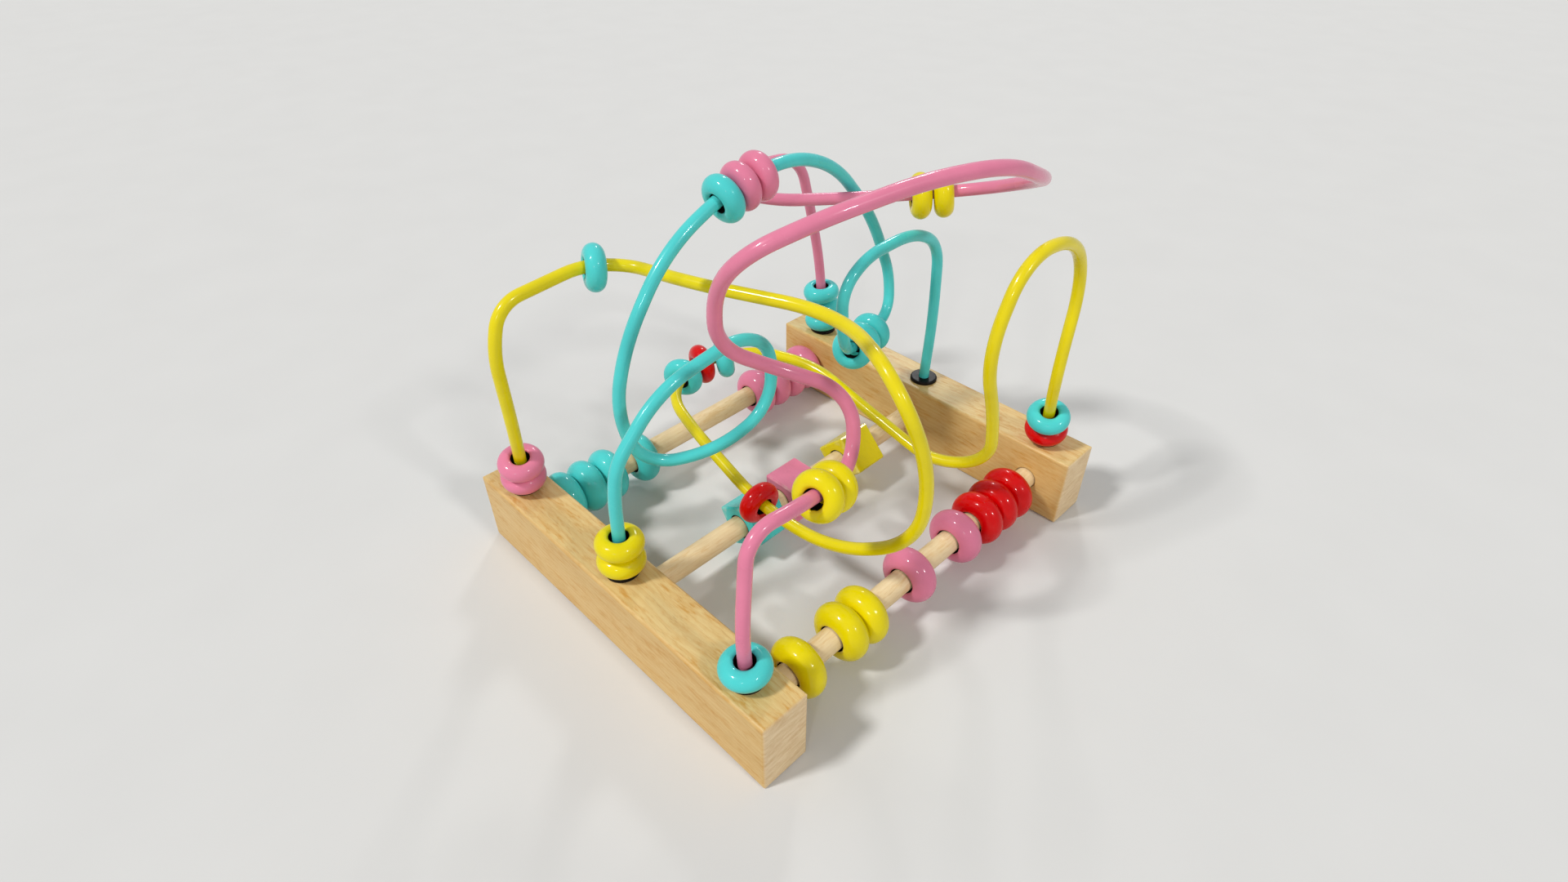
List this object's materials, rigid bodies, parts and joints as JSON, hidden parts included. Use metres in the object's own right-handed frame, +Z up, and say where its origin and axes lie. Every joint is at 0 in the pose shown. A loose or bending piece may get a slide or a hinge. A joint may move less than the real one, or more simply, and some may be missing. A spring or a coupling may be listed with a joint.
{
  "type": "bead maze",
  "caption": "Wooden bead maze: two rails joined by dowels, with bent coloured wires above, and painted rings, cubes and round beads threaded on them.",
  "frame": {"origin": "on the floor, midway between the rails and over the middle dowel", "axes": "+X along the rails towards the pink front foot, +Y from the front rail to the back rail, +Z up"},
  "size_m": [0.2801, 0.3283, 0.292],
  "materials": {
    "rail_wood": "smooth, clear varnish",
    "dowel_wood": "smooth, clear varnish",
    "yellow_coat": "steel wire with a glossy yellow plastic coat",
    "teal_coat": "steel wire with a glossy teal plastic coat",
    "pink_coat": "steel wire with a glossy pink plastic coat",
    "black_plastic": "glossy black plastic",
    "yellow_paint": "turned wood, glossy yellow paint",
    "teal_paint": "turned wood, glossy teal paint",
    "pink_paint": "turned wood, glossy pink paint",
    "red_paint": "turned wood, glossy red paint"
  },
  "bodies": {
    "maze": {"rail_front": "rail_wood", "rail_back": "rail_wood", "dowel_left": "dowel_wood", "dowel_middle": "dowel_wood", "dowel_right": "dowel_wood", "yellow_wire": "yellow_coat", "teal_wire": "teal_coat", "pink_wire": "pink_coat", "yellow_wire_front_grommet": "black_plastic", "yellow_wire_back_grommet": "black_plastic", "teal_wire_front_grommet": "black_plastic", "teal_wire_back_grommet": "black_plastic", "pink_wire_front_grommet": "black_plastic", "pink_wire_back_grommet": "black_plastic"},
    "left_ring_1_body": {"left_ring_1": "teal_paint"},
    "left_ring_2_body": {"left_ring_2": "teal_paint"},
    "left_ring_3_body": {"left_ring_3": "teal_paint"},
    "left_ring_4_body": {"left_ring_4": "teal_paint"},
    "left_ring_5_body": {"left_ring_5": "pink_paint"},
    "left_ring_6_body": {"left_ring_6": "pink_paint"},
    "left_ring_7_body": {"left_ring_7": "pink_paint"},
    "left_ring_8_body": {"left_ring_8": "pink_paint"},
    "middle_cube_1_body": {"middle_cube_1": "teal_paint"},
    "middle_cube_2_body": {"middle_cube_2": "pink_paint"},
    "middle_cube_3_body": {"middle_cube_3": "yellow_paint"},
    "right_ring_1_body": {"right_ring_1": "yellow_paint"},
    "right_ring_2_body": {"right_ring_2": "yellow_paint"},
    "right_ring_3_body": {"right_ring_3": "yellow_paint"},
    "right_ring_4_body": {"right_ring_4": "pink_paint"},
    "right_ring_5_body": {"right_ring_5": "pink_paint"},
    "right_ring_6_body": {"right_ring_6": "red_paint"},
    "right_ring_7_body": {"right_ring_7": "red_paint"},
    "right_ring_8_body": {"right_ring_8": "red_paint"},
    "yellow_wire_bead_1_body": {"yellow_wire_bead_1": "pink_paint"},
    "yellow_wire_bead_2_body": {"yellow_wire_bead_2": "pink_paint"},
    "yellow_wire_bead_3_body": {"yellow_wire_bead_3": "teal_paint"},
    "yellow_wire_bead_4_body": {"yellow_wire_bead_4": "red_paint"},
    "yellow_wire_bead_5_body": {"yellow_wire_bead_5": "teal_paint"},
    "yellow_wire_bead_6_body": {"yellow_wire_bead_6": "red_paint"},
    "yellow_wire_bead_7_body": {"yellow_wire_bead_7": "teal_paint"},
    "yellow_wire_bead_8_body": {"yellow_wire_bead_8": "red_paint"},
    "yellow_wire_bead_9_body": {"yellow_wire_bead_9": "teal_paint"},
    "teal_wire_bead_1_body": {"teal_wire_bead_1": "yellow_paint"},
    "teal_wire_bead_2_body": {"teal_wire_bead_2": "yellow_paint"},
    "teal_wire_bead_3_body": {"teal_wire_bead_3": "teal_paint"},
    "teal_wire_bead_4_body": {"teal_wire_bead_4": "pink_paint"},
    "teal_wire_bead_5_body": {"teal_wire_bead_5": "pink_paint"},
    "teal_wire_bead_6_body": {"teal_wire_bead_6": "teal_paint"},
    "teal_wire_bead_7_body": {"teal_wire_bead_7": "teal_paint"},
    "teal_wire_bead_8_body": {"teal_wire_bead_8": "teal_paint"},
    "pink_wire_bead_1_body": {"pink_wire_bead_1": "teal_paint"},
    "pink_wire_bead_2_body": {"pink_wire_bead_2": "yellow_paint"},
    "pink_wire_bead_3_body": {"pink_wire_bead_3": "yellow_paint"},
    "pink_wire_bead_4_body": {"pink_wire_bead_4": "yellow_paint"},
    "pink_wire_bead_5_body": {"pink_wire_bead_5": "yellow_paint"},
    "pink_wire_bead_6_body": {"pink_wire_bead_6": "teal_paint"},
    "pink_wire_bead_7_body": {"pink_wire_bead_7": "teal_paint"},
    "pink_wire_bead_8_body": {"pink_wire_bead_8": "teal_paint"}
  },
  "joints": [
    {"name": "left_ring_1_joint", "type": "slide", "parent": "maze", "child": "left_ring_1_body", "axis": [0, 1, 0], "range_m": [-0.001, 0.0055]},
    {"name": "left_ring_2_joint", "type": "slide", "parent": "maze", "child": "left_ring_2_body", "axis": [0, 1, 0], "range_m": [-0.001, 0.0055]},
    {"name": "left_ring_3_joint", "type": "slide", "parent": "maze", "child": "left_ring_3_body", "axis": [0, 1, 0], "range_m": [-0.001, 0.0055]},
    {"name": "left_ring_4_joint", "type": "slide", "parent": "maze", "child": "left_ring_4_body", "axis": [0, 1, 0], "range_m": [-0.0055, 0.0515]},
    {"name": "left_ring_5_joint", "type": "slide", "parent": "maze", "child": "left_ring_5_body", "axis": [0, 1, 0], "range_m": [-0.0515, 0]},
    {"name": "left_ring_6_joint", "type": "slide", "parent": "maze", "child": "left_ring_6_body", "axis": [0, 1, 0], "range_m": [-0.0515, 0]},
    {"name": "left_ring_7_joint", "type": "slide", "parent": "maze", "child": "left_ring_7_body", "axis": [0, 1, 0], "range_m": [-0.0515, 0]},
    {"name": "left_ring_8_joint", "type": "slide", "parent": "maze", "child": "left_ring_8_body", "axis": [0, 1, 0], "range_m": [-0.0515, 0]},
    {"name": "middle_cube_1_joint", "type": "slide", "parent": "maze", "child": "middle_cube_1_body", "axis": [0, 1, 0], "range_m": [-0.0775, 0.0045]},
    {"name": "middle_cube_2_joint", "type": "slide", "parent": "maze", "child": "middle_cube_2_body", "axis": [0, 1, 0], "range_m": [-0.0045, 0.016]},
    {"name": "middle_cube_3_joint", "type": "slide", "parent": "maze", "child": "middle_cube_3_body", "axis": [0, 1, 0], "range_m": [-0.016, 0.0525]},
    {"name": "right_ring_1_joint", "type": "slide", "parent": "maze", "child": "right_ring_1_body", "axis": [0, 1, 0], "range_m": [-0.014, 0.0094]},
    {"name": "right_ring_2_joint", "type": "slide", "parent": "maze", "child": "right_ring_2_body", "axis": [0, 1, 0], "range_m": [-0.0094, 0.0145]},
    {"name": "right_ring_3_joint", "type": "slide", "parent": "maze", "child": "right_ring_3_body", "axis": [0, 1, 0], "range_m": [-0.0094, 0.0145]},
    {"name": "right_ring_4_joint", "type": "slide", "parent": "maze", "child": "right_ring_4_body", "axis": [0, 1, 0], "range_m": [-0.0145, 0.0157]},
    {"name": "right_ring_5_joint", "type": "slide", "parent": "maze", "child": "right_ring_5_body", "axis": [0, 1, 0], "range_m": [-0.0157, 0.0035]},
    {"name": "right_ring_6_joint", "type": "slide", "parent": "maze", "child": "right_ring_6_body", "axis": [0, 1, 0], "range_m": [-0.0035, 0.0145]},
    {"name": "right_ring_7_joint", "type": "slide", "parent": "maze", "child": "right_ring_7_body", "axis": [0, 1, 0], "range_m": [-0.0035, 0.0145]},
    {"name": "right_ring_8_joint", "type": "slide", "parent": "maze", "child": "right_ring_8_body", "axis": [0, 1, 0], "range_m": [-0.0035, 0.0145]},
    {"name": "yellow_wire_bead_1_joint", "type": "slide", "parent": "maze", "child": "yellow_wire_bead_1_body", "axis": [0.2202, -0.0734, 0.9727], "range_m": [0, 0.029]},
    {"name": "yellow_wire_bead_2_joint", "type": "slide", "parent": "maze", "child": "yellow_wire_bead_2_body", "axis": [0.2202, -0.0734, 0.9727], "range_m": [0, 0.029]},
    {"name": "yellow_wire_bead_3_joint", "type": "hinge", "parent": "maze", "child": "yellow_wire_bead_3_body", "pos_m": [-0.04759, -0.09601, 0.16727], "axis": [-0.5444, 0.0484, -0.8374], "range_deg": [-22, 7]},
    {"name": "yellow_wire_bead_4_joint", "type": "hinge", "parent": "maze", "child": "yellow_wire_bead_4_body", "pos_m": [0.04356, 0.05856, 0.22352], "axis": [-0.0556, 0.8336, -0.5496], "range_deg": [-11, 14.5]},
    {"name": "yellow_wire_bead_5_joint", "type": "hinge", "parent": "maze", "child": "yellow_wire_bead_5_body", "pos_m": [-0.08157, 0.00033, 0.08387], "axis": [0.0217, 0.0758, -0.9969], "range_deg": [-10, 1]},
    {"name": "yellow_wire_bead_6_joint", "type": "hinge", "parent": "maze", "child": "yellow_wire_bead_6_body", "pos_m": [-0.08157, 0.00033, 0.08387], "axis": [0.0217, 0.0758, -0.9969], "range_deg": [-10, 1]},
    {"name": "yellow_wire_bead_7_joint", "type": "hinge", "parent": "maze", "child": "yellow_wire_bead_7_body", "pos_m": [-0.06162, -0.00624, 0.09588], "axis": [0.257, -0.0051, -0.9664], "range_deg": [-0.8, 21]},
    {"name": "yellow_wire_bead_8_joint", "type": "slide", "parent": "maze", "child": "yellow_wire_bead_8_body", "axis": [0.097, -0.2771, 0.9559], "range_m": [0, 0.028]},
    {"name": "yellow_wire_bead_9_joint", "type": "slide", "parent": "maze", "child": "yellow_wire_bead_9_body", "axis": [0.097, -0.2771, 0.9559], "range_m": [0, 0.028]},
    {"name": "teal_wire_bead_1_joint", "type": "slide", "parent": "maze", "child": "teal_wire_bead_1_body", "axis": [0, 0.0357, 0.9994], "range_m": [0, 0.039]},
    {"name": "teal_wire_bead_2_joint", "type": "slide", "parent": "maze", "child": "teal_wire_bead_2_body", "axis": [0, 0.0357, 0.9994], "range_m": [0, 0.039]},
    {"name": "teal_wire_bead_3_joint", "type": "hinge", "parent": "maze", "child": "teal_wire_bead_3_body", "pos_m": [0.00274, 0.02321, 0.08417], "axis": [-0.9784, 0.0447, -0.2016], "range_deg": [-7.5, 11]},
    {"name": "teal_wire_bead_4_joint", "type": "hinge", "parent": "maze", "child": "teal_wire_bead_4_body", "pos_m": [0.00274, 0.02321, 0.08417], "axis": [-0.9784, 0.0447, -0.2016], "range_deg": [-7.5, 11]},
    {"name": "teal_wire_bead_5_joint", "type": "hinge", "parent": "maze", "child": "teal_wire_bead_5_body", "pos_m": [0.00274, 0.02321, 0.08417], "axis": [-0.9784, 0.0447, -0.2016], "range_deg": [-7.5, 11]},
    {"name": "teal_wire_bead_6_joint", "type": "hinge", "parent": "maze", "child": "teal_wire_bead_6_body", "pos_m": [0.017, 0.10668, 0.17742], "axis": [-0.8506, -0.2129, 0.4808], "range_deg": [-10.5, 8.5]},
    {"name": "teal_wire_bead_7_joint", "type": "hinge", "parent": "maze", "child": "teal_wire_bead_7_body", "pos_m": [0.017, 0.10668, 0.17742], "axis": [-0.8506, -0.2129, 0.4808], "range_deg": [-10.5, 8.5]},
    {"name": "teal_wire_bead_8_joint", "type": "hinge", "parent": "maze", "child": "teal_wire_bead_8_body", "pos_m": [0.017, 0.10668, 0.17742], "axis": [-0.8506, -0.2129, 0.4808], "range_deg": [-10.5, 8.5]},
    {"name": "pink_wire_bead_1_joint", "type": "slide", "parent": "maze", "child": "pink_wire_bead_1_body", "axis": [-0.0278, -0.0278, 0.9992], "range_m": [0, 0.025]},
    {"name": "pink_wire_bead_2_joint", "type": "slide", "parent": "maze", "child": "pink_wire_bead_2_body", "axis": [-0.2009, 0.9374, -0.2846], "range_m": [-0.017, 0.001]},
    {"name": "pink_wire_bead_3_joint", "type": "slide", "parent": "maze", "child": "pink_wire_bead_3_body", "axis": [-0.2009, 0.9374, -0.2846], "range_m": [-0.017, 0.001]},
    {"name": "pink_wire_bead_4_joint", "type": "hinge", "parent": "maze", "child": "pink_wire_bead_4_body", "pos_m": [0.0398, 0.08698, 0.23807], "axis": [-0.3464, 0.2452, 0.9055], "range_deg": [-60, 0]},
    {"name": "pink_wire_bead_5_joint", "type": "slide", "parent": "maze", "child": "pink_wire_bead_5_body", "axis": [-0.6855, -0.7251, -0.0659], "range_m": [0, 0.0165]},
    {"name": "pink_wire_bead_6_joint", "type": "slide", "parent": "maze", "child": "pink_wire_bead_6_body", "axis": [-0.0317, -0.0633, 0.9975], "range_m": [0, 0.025]},
    {"name": "pink_wire_bead_7_joint", "type": "slide", "parent": "maze", "child": "pink_wire_bead_7_body", "axis": [-0.0317, -0.0633, 0.9975], "range_m": [0, 0.025]},
    {"name": "pink_wire_bead_8_joint", "type": "slide", "parent": "maze", "child": "pink_wire_bead_8_body", "axis": [-0.0317, -0.0633, 0.9975], "range_m": [0, 0.025]}
  ],
  "couplings": [
    {"joint": "left_ring_2_joint", "follows": "left_ring_1_joint", "ratio": 1},
    {"joint": "left_ring_3_joint", "follows": "left_ring_1_joint", "ratio": 1},
    {"joint": "left_ring_6_joint", "follows": "left_ring_5_joint", "ratio": 1},
    {"joint": "left_ring_7_joint", "follows": "left_ring_5_joint", "ratio": 1},
    {"joint": "left_ring_8_joint", "follows": "left_ring_5_joint", "ratio": 1},
    {"joint": "right_ring_3_joint", "follows": "right_ring_2_joint", "ratio": 1},
    {"joint": "right_ring_7_joint", "follows": "right_ring_6_joint", "ratio": 1},
    {"joint": "right_ring_8_joint", "follows": "right_ring_6_joint", "ratio": 1},
    {"joint": "yellow_wire_bead_2_joint", "follows": "yellow_wire_bead_1_joint", "ratio": 1},
    {"joint": "yellow_wire_bead_9_joint", "follows": "yellow_wire_bead_8_joint", "ratio": 1},
    {"joint": "teal_wire_bead_2_joint", "follows": "teal_wire_bead_1_joint", "ratio": 1},
    {"joint": "teal_wire_bead_4_joint", "follows": "teal_wire_bead_3_joint", "ratio": 1},
    {"joint": "teal_wire_bead_5_joint", "follows": "teal_wire_bead_3_joint", "ratio": 1},
    {"joint": "teal_wire_bead_7_joint", "follows": "teal_wire_bead_6_joint", "ratio": 1},
    {"joint": "teal_wire_bead_8_joint", "follows": "teal_wire_bead_6_joint", "ratio": 1},
    {"joint": "pink_wire_bead_3_joint", "follows": "pink_wire_bead_2_joint", "ratio": 1},
    {"joint": "pink_wire_bead_7_joint", "follows": "pink_wire_bead_6_joint", "ratio": 1},
    {"joint": "pink_wire_bead_8_joint", "follows": "pink_wire_bead_6_joint", "ratio": 1},
    {"joint": "yellow_wire_bead_6_joint", "follows": "yellow_wire_bead_5_joint", "ratio": 1}
  ]
}
